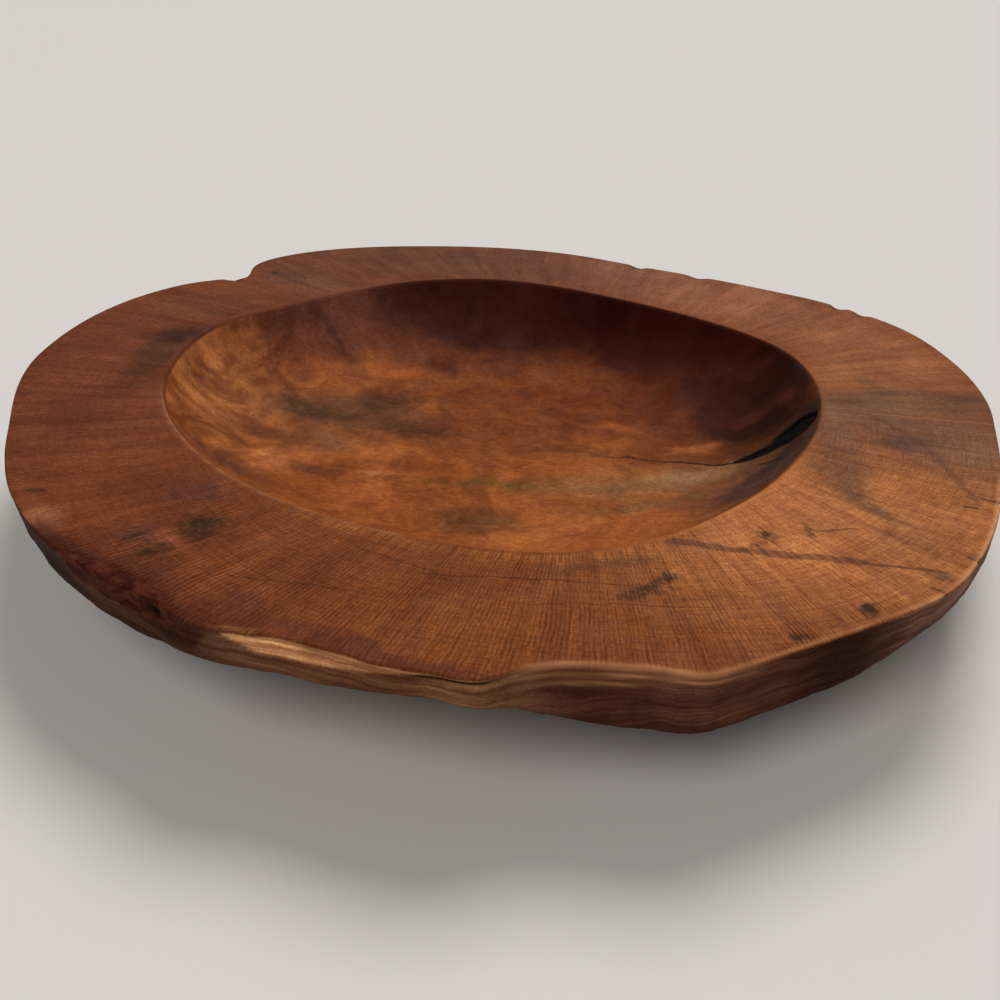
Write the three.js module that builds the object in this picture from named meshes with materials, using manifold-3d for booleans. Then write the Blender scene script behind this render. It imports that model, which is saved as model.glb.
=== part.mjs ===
// Natural edge wooden bowl: a round, shallow hollow carved into one cross-cut slice of a trunk, with the
// trunk's own outline kept as the rim's outer edge. The other pieces are what the tree grew or closed over
// inside that slice: bark held by a drying check and by the edge, and dead branch stubs (knots) in sockets.
// Millimetres, +Z up. The origin is the centre of the foot, on the surface that the bowl stands on.
// +X points right and +Y away from someone who stands at the pale front edge.
import * as THREE from "three";
import { mergeVertices } from "three/addons/utils/BufferGeometryUtils.js";
import Module from "manifold-3d";

// Hollow
const hollowRadius = 121; // mean radius of the lip
const hollowDepth = 30;
const hollowFullness = 6; // power of the hollow's curve: more gives a flatter floor and a steeper wall
const lipCornerWidth = 1; // width of the worn corner between the hollow and the rim

// Slice
const floorThickness = 15;
const rimWidth = 57; // mean width of the flat rim, from the lip to the natural edge
const edgeCornerRadius = 1.6; // rounding of the rim's top corner
const lowerCornerRadius = 4; // rounding where the natural edge turns under
const footRadius = 92;
const undersideCurve = 1.5; // power of the underside's curve between the foot and the edge

// Outlines by azimuth in degrees, counterclockwise from +X: departure in hundredths of the mean radius
const lipWaver = [
  [5, 2], [20, 4.1], [45, -2.5], [62, -4.1], [95, 2.5], [140, -2.5], [156, 2.9],
  [180, 1.7], [218, -2], [255, -1.2], [283, 3.3], [310, -2.5], [333, -4.1], [350, -1.7],
];
const edgeWaver = [
  [0, 4.5], [12, 7.9], [24, 10.1], [36, 6.7], [46, 1.7], [65, -2.8], [81, 0.6], [100, 2.2], [129, 2.8],
  [133.5, -0.6], [138.5, -8.4], [142, -5.6], [148, -2.2], [179, -1.7], [200, -4.4], [208, -3.6],
  [217, -2.2], [230, -1.2], [241, -1.5], [248, 0.3], [254, -1.7], [262, 0.6], [270, 1.1], [276, -2.2],
  [283, -0.6], [289, 2.2], [303, 1.1], [313, 2.2], [325, 0], [338, -1.1], [350, 1.1],
];

// Natural edge: its ordinary height and, by azimuth in hundredths of that, its height there and how far
// its lower corner stands out past its upper one
const edgeHeight = 15;
const edgeHeights = [
  [0, 100], [90, 100], [180, 107], [215, 112], [230, 114], [240, 118], [248, 84], [256, 90], [264, 68],
  [270, 62], [276, 88], [281, 114], [287, 132], [297, 124], [304, 104], [311, 90], [322, 93], [337, 93],
];
const edgeLeans = [
  [0, -7], [180, -7], [200, -8], [215, -14], [230, -17], [240, -12], [246, -7], [255, 10],
  [268, 0], [276, 27], [280, 27], [287, 3], [302, 5], [312, -8],
];

// Bark closed into the check that splits the hollow's wall
const seamAzimuth = -7.6;
const seamRun = 27; // length in plan, from the lip inwards
const seamWidth = 14;
const seamWidest = 0.15; // share of the run, from the lip, that both sides bow out towards
const seamDepth = 6; // how deep the bark reaches behind the wall
const seamRecess = 1.2; // how far the bark's face lies behind the wall
const seamFromLip = 1;

// Sliver of bark left on the natural edge, split off along a leaning plane
const edgeBarkAzimuth = 237;
const edgeBarkLength = 46;
const edgeBarkThickness = 5; // measured square to the split, in from the rim's corner
const edgeBarkAngle = 45; // degrees that the split leans out of the upright

// Knots: azimuth, place across the rim (0 at the lip, 1 at the edge), and length along the radius and width,
// both in ordinary stubs
const knotSize = 5;
const knots = [
  { name: "knot_left_inner", azimuth: 235.7, across: 0.39, length: 2, width: 1.6 },
  { name: "knot_left_outer", azimuth: 234.9, across: 0.68, length: 1.8, width: 2.2 },
  { name: "knot_front", azimuth: 286.9, across: 0.42, length: 1.2, width: 3.6 },
  { name: "knot_right_inner", azimuth: 305.9, across: 0.24, length: 1.2, width: 1 },
  { name: "knot_right_middle", azimuth: 311.9, across: 0.35, length: 1.4, width: 0.6 },
  { name: "knot_right_outer", azimuth: 304.4, across: 0.9, length: 1.2, width: 1 },
  { name: "knot_right_edge", azimuth: 296.2, across: 0.9, length: 0.8, width: 0.8 },
  { name: "knot_back", azimuth: 133.1, across: 0.7, length: 1, width: 0.8 },
];
const knotDepth = 7;
const knotTaper = 0.6; // a stub narrows towards the pith, below
const knotRecess = 0.2; // dead wood shrinks a little below the rim

const seatGap = 0.3; // clearance between a grown-in piece and the wood that holds it

// Fineness of the facets
const azimuthSteps = 144;
const hollowSteps = 9;
const hollowSpacing = 0.6; // under 1 brings the hollow's rings closer together towards the wall
const undersideSteps = 4;
const cornerSteps = 2;
const knotSides = 12;

const rimHeight = hollowDepth + floorThickness;
const headroom = hollowDepth; // how far a cutter stands past the surface that it cuts

const wasm = await Module();
wasm.setup();

// A share that varies round the bowl: a cubic through [azimuth, hundredths] pairs that closes on itself.
function roundTheBowl(pairs) {
  const [firstAzimuth, firstShare] = pairs[0];
  const azimuths = [...pairs.map(([azimuth]) => azimuth), firstAzimuth + 360];
  const hundredths = [...pairs.map(([, share]) => share), firstShare];
  const curve = new THREE.CubicInterpolant(azimuths, hundredths, 1);
  curve.settings = { endingStart: THREE.WrapAroundEnding, endingEnd: THREE.WrapAroundEnding };
  const turnsOnce = (azimuth) => firstAzimuth + THREE.MathUtils.euclideanModulo(azimuth - firstAzimuth, 360);
  return (azimuth) => curve.evaluate(turnsOnce(azimuth))[0] / 100;
}

const lipWaverAt = roundTheBowl(lipWaver);
const edgeWaverAt = roundTheBowl(edgeWaver);
const heightShareAt = roundTheBowl(edgeHeights);
const leanShareAt = roundTheBowl(edgeLeans);
const lipRadiusAt = (azimuth) => hollowRadius * (1 + lipWaverAt(azimuth));
const edgeRadiusAt = (azimuth) => (hollowRadius + rimWidth) * (1 + edgeWaverAt(azimuth));

// Quarter circle from one angle to another, both in degrees, in the [radius, height] plane.
function corner(centreRadius, centreHeight, round, from, to) {
  return Array.from({ length: cornerSteps + 1 }, (_, i) => {
    const angle = THREE.MathUtils.degToRad(THREE.MathUtils.lerp(from, to, i / cornerSteps));
    return [centreRadius + round * Math.cos(angle), centreHeight + round * Math.sin(angle)];
  });
}

// Wall of the hollow from the floor's middle to the lip; skin is how far it is set back into the wood.
function hollowCurve(azimuth, skin, upTo) {
  const radius = lipRadiusAt(azimuth) + skin;
  const depth = hollowDepth + skin;
  return Array.from({ length: hollowSteps + 1 }, (_, i) => {
    const share = upTo * Math.pow(i / hollowSteps, hollowSpacing);
    return [radius * share, rimHeight - depth * (1 - Math.pow(share, hollowFullness))];
  });
}

// Section of the slice from the foot's centre, round the natural edge and over the rim, to the floor.
function sliceSection(azimuth) {
  const lip = lipRadiusAt(azimuth);
  const edge = edgeRadiusAt(azimuth);
  const lower = edge + edgeHeight * leanShareAt(azimuth);
  const lowerHeight = rimHeight - edgeHeight * heightShareAt(azimuth);
  const underside = Array.from({ length: undersideSteps }, (_, i) => {
    const share = i / undersideSteps;
    const radius = THREE.MathUtils.lerp(footRadius, lower - lowerCornerRadius, share);
    return [radius, lowerHeight * Math.pow(share, undersideCurve)];
  });
  return [
    [0, 0],
    ...underside,
    ...corner(lower - lowerCornerRadius, lowerHeight + lowerCornerRadius, lowerCornerRadius, -90, 0),
    ...corner(edge - edgeCornerRadius, rimHeight - edgeCornerRadius, edgeCornerRadius, 0, 90),
    [lip + lipCornerWidth, rimHeight],
    ...hollowCurve(azimuth, 0, 1 - lipCornerWidth / lip).reverse(),
  ];
}

// Space of the hollow with its wall set back by skin, standing up past the rim, as a cutter.
function hollowSection(azimuth, skin) {
  return [
    ...hollowCurve(azimuth, skin, 1),
    [lipRadiusAt(azimuth) + skin, rimHeight + headroom],
    [0, rimHeight + headroom],
  ];
}

// Closed surface whose section changes with the azimuth. A section starts and ends on the axis.
function sweptRound(sectionAt) {
  const sections = Array.from({ length: azimuthSteps }, (_, i) => sectionAt((360 * i) / azimuthSteps));
  const rings = sections[0].length - 2;
  const [, bottomHeight] = sections[0][0];
  const [, topHeight] = sections[0][rings + 1];
  const positions = [0, 0, bottomHeight, 0, 0, topHeight];
  const index = [];
  const vertex = (step, ring) => 2 + (step % azimuthSteps) * rings + ring;
  sections.forEach((section, step) => {
    const angle = (2 * Math.PI * step) / azimuthSteps;
    section.slice(1, -1).forEach(([radius, height]) => {
      positions.push(radius * Math.cos(angle), radius * Math.sin(angle), height);
    });
    index.push(0, vertex(step + 1, 0), vertex(step, 0));
    for (let ring = 0; ring < rings - 1; ring++) {
      const [a, b] = [vertex(step, ring), vertex(step + 1, ring)];
      const [c, d] = [vertex(step, ring + 1), vertex(step + 1, ring + 1)];
      index.push(a, b, c, b, d, c);
    }
    index.push(vertex(step, rings - 1), vertex(step + 1, rings - 1), 1);
  });
  const geometry = new THREE.BufferGeometry();
  geometry.setAttribute("position", new THREE.Float32BufferAttribute(positions, 3));
  geometry.setIndex(index);
  return geometry;
}

// A closed geometry as a solid that can be cut.
function solidOf(geometry) {
  const bare = new THREE.BufferGeometry();
  bare.setAttribute("position", geometry.getAttribute("position"));
  bare.setIndex(geometry.index);
  const merged = mergeVertices(bare);
  return new wasm.Manifold(
    new wasm.Mesh({
      numProp: 3,
      vertProperties: merged.getAttribute("position").array,
      triVerts: new Uint32Array(merged.index.array),
    }),
  );
}

// A solid back as a geometry.
function geometryOf(solid) {
  const { vertProperties, triVerts } = solid.getMesh();
  const geometry = new THREE.BufferGeometry();
  geometry.setAttribute("position", new THREE.BufferAttribute(vertProperties, 3));
  geometry.setIndex(new THREE.BufferAttribute(triVerts, 1));
  geometry.computeVertexNormals();
  return geometry;
}

const hollowSpace = (skin) => solidOf(sweptRound((azimuth) => hollowSection(azimuth, skin)));

// Upright prism over the check's lens-shaped plan, grown all round by gap.
function seamPrism(gap) {
  const outer = lipRadiusAt(seamAzimuth) - seamFromLip + gap;
  const inner = outer - seamRun - 2 * gap;
  const widest = THREE.MathUtils.lerp(outer, inner, seamWidest);
  const bulge = seamWidth + 2 * gap; // a quadratic curve reaches half as far out as its control point
  const plan = new THREE.Shape();
  plan.moveTo(inner, 0);
  plan.quadraticCurveTo(widest, -bulge, outer, 0);
  plan.quadraticCurveTo(widest, bulge, inner, 0);
  const prism = new THREE.ExtrudeGeometry(plan, { depth: rimHeight, bevelEnabled: false, curveSegments: 8 });
  return solidOf(prism.rotateZ(THREE.MathUtils.degToRad(seamAzimuth)));
}

const seamBark = () => seamPrism(0).intersect(hollowSpace(seamDepth)).subtract(hollowSpace(seamRecess));
const seamSocket = () => seamPrism(seatGap).intersect(hollowSpace(seamDepth + seatGap));

// Box that splits the bark sliver off the edge: its inner face is the leaning plane, set in by gap.
function edgeBarkSplitter(gap) {
  const reach = headroom;
  const box = new THREE.BoxGeometry(reach, edgeBarkLength + 2 * gap, 2 * reach);
  box.translate(reach / 2 - edgeBarkThickness - gap, 0, 0);
  box.rotateY(THREE.MathUtils.degToRad(-edgeBarkAngle));
  box.translate(edgeRadiusAt(edgeBarkAzimuth), 0, rimHeight);
  return solidOf(box.rotateZ(THREE.MathUtils.degToRad(edgeBarkAzimuth)));
}

// Tapered oval stub standing down from its own origin, grown all round by gap, with its top at height top.
function knotStub({ length, width }, gap, top) {
  const bottom = -knotDepth - gap;
  const girth = (height) => 0.5 * (1 + ((1 - knotTaper) * height) / knotDepth);
  const stub = new THREE.CylinderGeometry(girth(top), girth(bottom), top - bottom, knotSides);
  stub.rotateX(Math.PI / 2);
  stub.scale(length * knotSize + 2 * gap, width * knotSize + 2 * gap, 1);
  return stub.translate(0, 0, (top + bottom) / 2);
}

// Point on the rim where a knot's socket is.
function knotPlace({ azimuth, across }) {
  const radius = THREE.MathUtils.lerp(lipRadiusAt(azimuth), edgeRadiusAt(azimuth), across);
  const angle = THREE.MathUtils.degToRad(azimuth);
  const position = new THREE.Vector3(radius * Math.cos(angle), radius * Math.sin(angle), rimHeight);
  return { position, angle };
}

function knotSocket(knot) {
  const { position, angle } = knotPlace(knot);
  return solidOf(knotStub(knot, seatGap, seatGap).rotateZ(angle).translate(...position.toArray()));
}

const heartwood = new THREE.MeshStandardMaterial({ color: 0x7d4628, roughness: 0.5, metalness: 0 });
const bark = new THREE.MeshStandardMaterial({ color: 0x120b09, roughness: 0.85, metalness: 0 });
const edgeBark = new THREE.MeshStandardMaterial({ color: 0x35190f, roughness: 0.6, metalness: 0 });
const knotWood = new THREE.MeshStandardMaterial({ color: 0x3b2c22, roughness: 0.6, metalness: 0 });

function named(name, geometry, material) {
  const mesh = new THREE.Mesh(geometry, material);
  mesh.name = name;
  return mesh;
}

const slice = solidOf(sweptRound(sliceSection));
const sockets = [seamSocket(), edgeBarkSplitter(seatGap), ...knots.map(knotSocket)];
const carved = sockets.reduce((wood, socket) => wood.subtract(socket), slice);

const bowl = new THREE.Group();
bowl.add(named("bowl_body", geometryOf(carved), heartwood));
bowl.add(named("bark_seam", geometryOf(seamBark()), bark));
bowl.add(named("edge_bark", geometryOf(slice.intersect(edgeBarkSplitter(0))), edgeBark));

const knotGroup = new THREE.Group();
for (const knot of knots) {
  const mesh = named(knot.name, knotStub(knot, 0, -knotRecess), knotWood);
  const { position, angle } = knotPlace(knot);
  mesh.position.copy(position);
  mesh.rotation.z = angle;
  knotGroup.add(mesh);
}
bowl.add(knotGroup);

export default bowl;
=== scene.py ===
import math

import bpy
import numpy as np
from mathutils import Matrix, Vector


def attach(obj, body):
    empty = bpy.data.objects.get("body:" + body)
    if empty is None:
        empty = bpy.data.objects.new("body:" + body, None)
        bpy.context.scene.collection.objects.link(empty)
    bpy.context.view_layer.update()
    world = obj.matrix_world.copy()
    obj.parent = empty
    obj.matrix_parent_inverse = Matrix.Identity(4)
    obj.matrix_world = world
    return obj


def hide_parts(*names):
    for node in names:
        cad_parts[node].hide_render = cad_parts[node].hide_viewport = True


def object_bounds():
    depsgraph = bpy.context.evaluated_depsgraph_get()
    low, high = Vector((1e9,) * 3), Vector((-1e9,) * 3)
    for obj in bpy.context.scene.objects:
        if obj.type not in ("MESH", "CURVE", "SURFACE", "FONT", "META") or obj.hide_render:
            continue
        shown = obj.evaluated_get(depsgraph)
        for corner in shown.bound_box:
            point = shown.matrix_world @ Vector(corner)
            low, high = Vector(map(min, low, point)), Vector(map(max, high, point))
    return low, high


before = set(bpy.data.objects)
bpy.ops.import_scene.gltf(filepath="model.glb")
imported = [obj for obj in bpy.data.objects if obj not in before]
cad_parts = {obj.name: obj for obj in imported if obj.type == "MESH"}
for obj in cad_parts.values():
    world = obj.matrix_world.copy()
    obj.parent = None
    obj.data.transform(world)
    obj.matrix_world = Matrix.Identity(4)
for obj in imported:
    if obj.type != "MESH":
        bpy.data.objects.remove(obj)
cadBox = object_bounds()
print("frame loaded:", len(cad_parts), "nodes")

millimetre = 0.001  # shapes are worked out in millimetres and written in metres


# Small tools for numbers

def smooth(low, high, value):  # S curve from 0 at low to 1 at high
    share = np.clip((value - low) / (high - low), 0, 1)
    return share * share * (3 - 2 * share)


def window(azimuth, start, end, soft):  # 1 between two azimuths, fading over soft degrees at each end
    middle = (start + end) / 2
    away = np.abs((azimuth - middle + 180) % 360 - 180)
    return 1 - smooth((end - start) / 2 - soft, (end - start) / 2 + soft, away)


def hump(value, middle, spread):  # bell curve, 1 at the middle
    return np.exp(-(((value - middle) / spread) ** 2))


# Sine waves in random directions, each about length long, added up and scaled to a spread of a half
def ripples(points, length, seed, waves=12):
    rng = np.random.default_rng(seed)
    ways = rng.normal(size=(waves, 3))
    ways /= np.linalg.norm(ways, axis=1, keepdims=True)
    pitch = 2 * np.pi / length * rng.uniform(0.6, 1.5, (waves, 1))
    phase = rng.uniform(0, 2 * np.pi, waves)
    return np.sin(points @ (ways * pitch).T + phase).sum(-1) / np.sqrt(2 * waves)


def linear(colour):  # a colour as a screen shows it, 0 to 255, made linear
    shown = np.asarray(colour, float) / 255
    return np.where(shown <= 0.04045, shown / 12.92, ((shown + 0.055) / 1.055) ** 2.4)


def polar(radius, azimuth, height):  # points from radius, azimuth in degrees and height
    angle = np.radians(azimuth)
    return np.stack(np.broadcast_arrays(radius * np.cos(angle), radius * np.sin(angle), height), -1)


# Rows of a closed surface run from a bottom pole to a top pole, and its columns close on themselves.
def closedSurface(name, rows, bottom, top):
    count, columns = rows.shape[:2]
    grid = np.arange(count * columns).reshape(count, columns)
    beside = np.roll(grid, -1, axis=1)
    quads = np.stack([grid[:-1], beside[:-1], beside[1:], grid[1:]], -1).reshape(-1, 4)
    low = np.full(columns, count * columns)
    lower = np.stack([low, beside[0], grid[0]], -1)
    upper = np.stack([grid[-1], beside[-1], low + 1], -1)
    points = np.concatenate([rows.reshape(-1, 3), [bottom, top]])
    mesh = bpy.data.meshes.new(name)
    mesh.from_pydata(points * millimetre, [], quads.tolist() + lower.tolist() + upper.tolist())
    mesh.polygons.foreach_set("use_smooth", np.ones(len(mesh.polygons), bool))
    mesh.update()
    piece = bpy.data.objects.new(name, mesh)
    bpy.context.scene.collection.objects.link(piece)
    return piece


def paintNumber(piece, name, values):  # one number for each point, for the material to read
    attribute = piece.data.attributes.new(name, "FLOAT", "POINT")
    attribute.data.foreach_set("value", np.asarray(values, np.float32))


def paintColour(piece, colours):  # one tone for each point
    attribute = piece.data.attributes.new("tone", "FLOAT_COLOR", "POINT")
    opaque = np.concatenate([colours, np.ones((len(colours), 1))], 1)
    attribute.data.foreach_set("color", opaque.astype(np.float32).ravel())


def paintTone(piece, tone):  # the tones of a grid, with its first and last rows' at the poles
    paintColour(piece, np.concatenate([tone.reshape(-1, 3), [tone[0, 0], tone[-1, 0]]]))


def pointsOf(piece):  # places of a piece's points in millimetres
    points = np.empty(len(piece.data.vertices) * 3)
    piece.data.vertices.foreach_get("co", points)
    return points.reshape(-1, 3) / millimetre


def place(piece, node):
    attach(piece, "root")
    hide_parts(node)


# Slice of the trunk: the driving sizes of the solids, with the front edge a little closer to the photograph

trunk = {
    "hollowRadius": 121,
    "hollowDepth": 30,
    "hollowFullness": 6,  # power of the hollow's curve
    "lipCorner": 1,
    "rimWidth": 57,
    "edgeCorner": 1,
    "lowerCorner": 4,
    "footRadius": 92,
    "undersideCurve": 1.5,  # power of the curve under the edge
    "edgeHeight": 15,
    "skin": 0.25,  # how far the drawn surface lies inside the solid
    "pith": (34.5, -9.2),
    "lipWaver": [
        (5, 2), (20, 4.1), (45, -2.5), (62, -4.1), (95, 2.5), (140, -2.5), (156, 2.9),
        (180, 1.7), (218, -2), (255, -1.2), (283, 3.3), (310, -2.5), (333, -4.1), (350, -1.7),
    ],
    "edgeWaver": [
        (0, 4.5), (12, 7.9), (24, 10.1), (36, 6.7), (46, 1.7), (65, -2.8), (81, 0.6), (100, 2.2), (129, 2.8),
        (133.5, -0.6), (138.5, -8.4), (142, -5.6), (148, -2.2), (179, -1.7), (200, -4.4), (208, -3.6),
        (217, -2.2), (230, -1.2), (241, -1.5), (248, 0.3), (254, -2), (258.5, -1.5), (262.5, -0.3),
        (266.5, 0.4), (270, 1.1), (273, -1.2), (276, -2.2), (283, -0.4), (286.8, 2.3), (290, 2), (296, 1.1),
        (303, 1.2), (313, 2.5), (325, 1), (338, -0.2), (350, 1.1),
    ],
    "edgeHeights": [
        (0, 100), (90, 100), (180, 107), (215, 112), (230, 114), (240, 118), (248, 84), (256, 83), (264, 70),
        (270, 69), (276, 96), (281, 118), (287, 134), (297, 126), (304, 114), (311, 94), (322, 93), (337, 93),
    ],
    "edgeLeans": [
        (0, -7), (180, -7), (200, -8), (215, -14), (230, -17), (240, -12), (246, -7), (255, 10),
        (268, 0), (276, 27), (280, 27), (287, 3), (302, 5), (311, -8), (321, -5),
        (330, 1), (342, -3),
    ],
}
rimHeight = cadBox[1].z / millimetre - trunk["skin"]
floorHeight = cadBox[1].z / millimetre - trunk["hollowDepth"]


# Cubic through (azimuth, hundredths) pairs that closes on itself, as a share of 1
def roundTheBowl(pairs, azimuth):
    at, value = np.array(pairs + [(pairs[0][0] + 360, pairs[0][1])], float).T
    slope = np.diff(value) / np.diff(at)
    tangent = (slope + np.roll(slope, 1)) / 2
    tangent = np.append(tangent, tangent[0])
    turned = at[0] + (azimuth - at[0]) % 360
    i = np.clip(np.searchsorted(at, turned, side="right") - 1, 0, len(slope) - 1)
    width = at[i + 1] - at[i]
    s = (turned - at[i]) / width
    start = (1 + 2 * s) * (1 - s) ** 2 * value[i] + s * (1 - s) ** 2 * width * tangent[i]
    end = s * s * (3 - 2 * s) * value[i + 1] + s * s * (s - 1) * width * tangent[i + 1]
    return (start + end) / 100


def lipRadius(azimuth):
    return trunk["hollowRadius"] * (1 + roundTheBowl(trunk["lipWaver"], azimuth))


def edgeRadius(azimuth):
    mean = trunk["hollowRadius"] + trunk["rimWidth"]
    return mean * (1 + roundTheBowl(trunk["edgeWaver"], azimuth)) - trunk["skin"]


def hollowHeight(radius, lip):  # floor plus a high power of the share of the way to the lip
    share = np.clip(radius / lip, 0, 1)
    return floorHeight + (rimHeight - floorHeight) * share ** trunk["hollowFullness"]


# Colours of the wood: soft oval patches (x, y, half length, half width, turn, colour, strength)

rimTones = {
    "base": (118, 56, 19),
    "balance": (1, 1.12, 1.62),  # of red, green and blue, against the light's own tint
    "patches": [
        (-150, -10, 70, 120, 0, (106, 50, 23), 0.9),  # left side, redder and darker, partly painted shade
        (-85, -135, 55, 34, -30, (110, 51, 20), 0.6),  # left front
        (0, 150, 130, 34, 0, (98, 55, 31), 0.8),  # back, greyer: painted sheen over the wood
        (106, -96, 60, 42, 25, (189, 110, 49), 0.85),  # right front, golden
        (124, -110, 16, 14, 0, (132, 72, 34), 0.7),
        (152, 40, 32, 60, 0, (151, 84, 39), 0.75),  # right
        (95, 125, 60, 34, -45, (146, 84, 46), 0.7),  # back right, paler
        (0, -160, 64, 18, 0, (126, 61, 14), 0.6),  # middle of the front
        (150, -6, 34, 10, 2, (106, 68, 33), 0.8),  # greenish band beside the healed check
        (131, -23, 18, 12, -8, (118, 78, 44), 0.75),
        (149, 3, 7, 5, 0, (84, 50, 24), 0.6),
        (143, 14, 6, 4, 0, (92, 54, 26), 0.55),
        (176, -1, 9, 7, 10, (84, 54, 26), 0.65),
        (161, -42, 22, 25, 0, (120, 79, 44), 0.8),  # wedge from the healed check to the edge
        (149, -75, 6, 11, -10, (128, 76, 38), 0.5),
        (141, -44, 8, 5, 8, (94, 62, 40), 0.85),  # bluish bruise
        (118, -42, 16, 9, 95, (110, 68, 37), 0.8),  # band that bends round from the lip
        (113.5, -67, 14, 8, 98, (108, 65, 35), 0.8),
        (115, -87, 12, 4.5, -58, (102, 60, 31), 0.8),
        (117, -105, 7, 2.2, -36, (122, 68, 32), 0.65),  # curved streak
        (125, -115, 7, 2.2, -85, (122, 68, 32), 0.6),
        (123.5, -126, 3.2, 2, 0, (92, 66, 40), 0.6),  # stain at the crack's end
        (22, -133.5, 9, 2.2, 25, (96, 55, 27), 0.6),  # streak behind the front stain
        (37, -128, 9, 2.6, 16, (92, 56, 27), 0.65),
        (-128, 66, 26, 18, 25, (110, 58, 26), 0.75),  # left back, greyer: painted sheen over the wood
        (-92, 108, 26, 16, -40, (99, 58, 34), 0.75),
        (-131, 4, 7, 24, 0, (72, 39, 17), 0.8),  # smudge at the left lip
        (-128, 27, 11, 9, 20, (50, 24, 14), 0.85),
        (-124, -119, 8.5, 3.5, -52, (146, 86, 46), 0.75),  # worn place at the left edge
        (-97, -147, 30, 8, -31, (72, 28, 13), 0.85),  # dark red beside the edge bark, partly painted shade
        (-84.5, -100, 8, 7, 0, (74, 36, 24), 0.7),  # smudges about the left knots
        (-90, -142, 9, 6, -30, (72, 34, 19), 0.75),
        (-96, -125, 6, 5, 0, (84, 47, 34), 0.6),
        (-85.5, -127, 4, 3, 0, (146, 72, 42), 0.6),
        (-60, -153, 7, 4, -10, (70, 34, 21), 0.75),
        (-22, -150, 46, 20, 0, (108, 50, 16), 0.5),
    ],
    "edgeSpecks": [  # pale places over the dark band at the edge
        (-60, -164, 2.6, 1.2, -5, (146, 94, 52), 0.55),
        (-54.5, -164.2, 2.2, 1.2, -5, (138, 86, 46), 0.5),
    ],
}
hollowTones = {
    "base": (138, 71, 29),
    "balance": (1, 1.03, 1.1),
    "patches": [
        (0, 112, 120, 28, 0, (50, 11, 6), 0.95),  # back wall: dark wood deepened with painted shade
        (104, 42, 34, 66, 0, (26, 2, 0), 1),  # right wall: dark wood deepened with painted shade
        (70, 84, 50, 26, -38, (39, 1, 0), 0.98),  # back right: dark wood deepened with painted shade
        (20, 40, 66, 32, 0, (99, 42, 14), 0.75),
        (-84, 78, 36, 22, 42, (106, 58, 43), 0.9),  # left back wall, duller
        (-110, 8, 15, 44, 5, (158, 90, 46), 0.85),  # left wall, orange
        (-115, 10, 4, 9, 0, (110, 57, 35), 0.6),
        (-102, 30, 9, 8, 0, (182, 105, 52), 0.8),
        (-116, 28, 4, 9, 0, (178, 101, 52), 0.8),
        (-93, -45, 13, 9, 50, (108, 60, 39), 0.75),
        (-101, -8, 8, 4, 0, (118, 59, 36), 0.5),
        (-71, 72, 16, 2.5, -32, (66, 33, 22), 0.6),  # fold in the left wall
        (-80, 50, 22, 11, 25, (144, 74, 31), 0.7),  # pale places on the floor
        (-50, 67, 11, 9, 0, (152, 80, 31), 0.65),
        (-84, -28, 11, 8, 40, (176, 102, 51), 0.9),
        (-39, -7, 13, 5.5, 0, (158, 88, 38), 0.7),
        (-27, 31, 6, 5, 0, (148, 79, 32), 0.65),
        (39, 70, 8, 7, 0, (116, 55, 21), 0.6),
        (50, 23, 7, 4.5, 0, (142, 71, 30), 0.75),
        (77, 2, 9, 3.5, 5, (150, 78, 35), 0.85),
        (51, -18, 10, 5, 0, (156, 90, 42), 0.7),
        (39, -66, 44, 14, 0, (150, 81, 35), 0.7),
        (-62, 24, 36, 16, -6, (92, 57, 35), 0.75),  # greenish smudges
        (-76, 23, 15, 7, -4, (62, 39, 22), 0.7),
        (-51, 38, 14, 6.5, -4, (70, 44, 26), 0.65),
        (-34, 12.5, 15, 5, -10, (70, 41, 22), 0.7),
        (-89, -6, 6, 5, 0, (72, 39, 22), 0.65),
        (-68, -2, 14, 9, 0, (108, 69, 40), 0.6),
        (62, -27, 40, 8, 4, (128, 88, 52), 0.7),  # greenish band under the check; the paler, greyer spot after it is partly a painted highlight
        (73, -21, 14, 6, -8, (138, 98, 64), 0.55),
        (57, -44, 23, 3, 10, (104, 74, 40), 0.65),
        (-1, -30, 24, 3, 2, (94, 65, 25), 0.7),
        (20, -1, 26, 2.5, 4, (94, 50, 25), 0.5),
        (92, -46, 22, 13, 38, (74, 48, 37), 0.9),  # wall below the check and beside its upper end, grey: painted shade
        (106, -33, 11, 12, 0, (58, 38, 31), 0.9),
        (116, -11, 7, 12, 0, (46, 29, 23), 0.9),
        (-5, -58, 14, 7, 0, (92, 58, 29), 0.75),  # rippled patch
        (-68, -27, 7, 5, 0, (82, 42, 25), 0.8),  # dark and pale spots
        (-43, -25.7, 4, 1.5, 0, (178, 109, 72), 0.6),
        (-38, -28.5, 5, 1.2, -8, (82, 42, 20), 0.6),
        (-25, 75, 8, 6, 0, (66, 22, 14), 0.7),
        (2, 84, 12, 7, 0, (76, 32, 20), 0.5),
        (105, 49, 13, 2.5, -28, (66, 25, 17), 0.75),  # pale fingers on the right wall
        (99, 19.5, 10, 4, -5, (72, 28, 18), 0.75),
        (114.5, 17, 3, 7, 0, (70, 28, 20), 0.75),
        (121, 28, 2.5, 13, 0, (50, 25, 19), 0.75),
    ],
}
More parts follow.
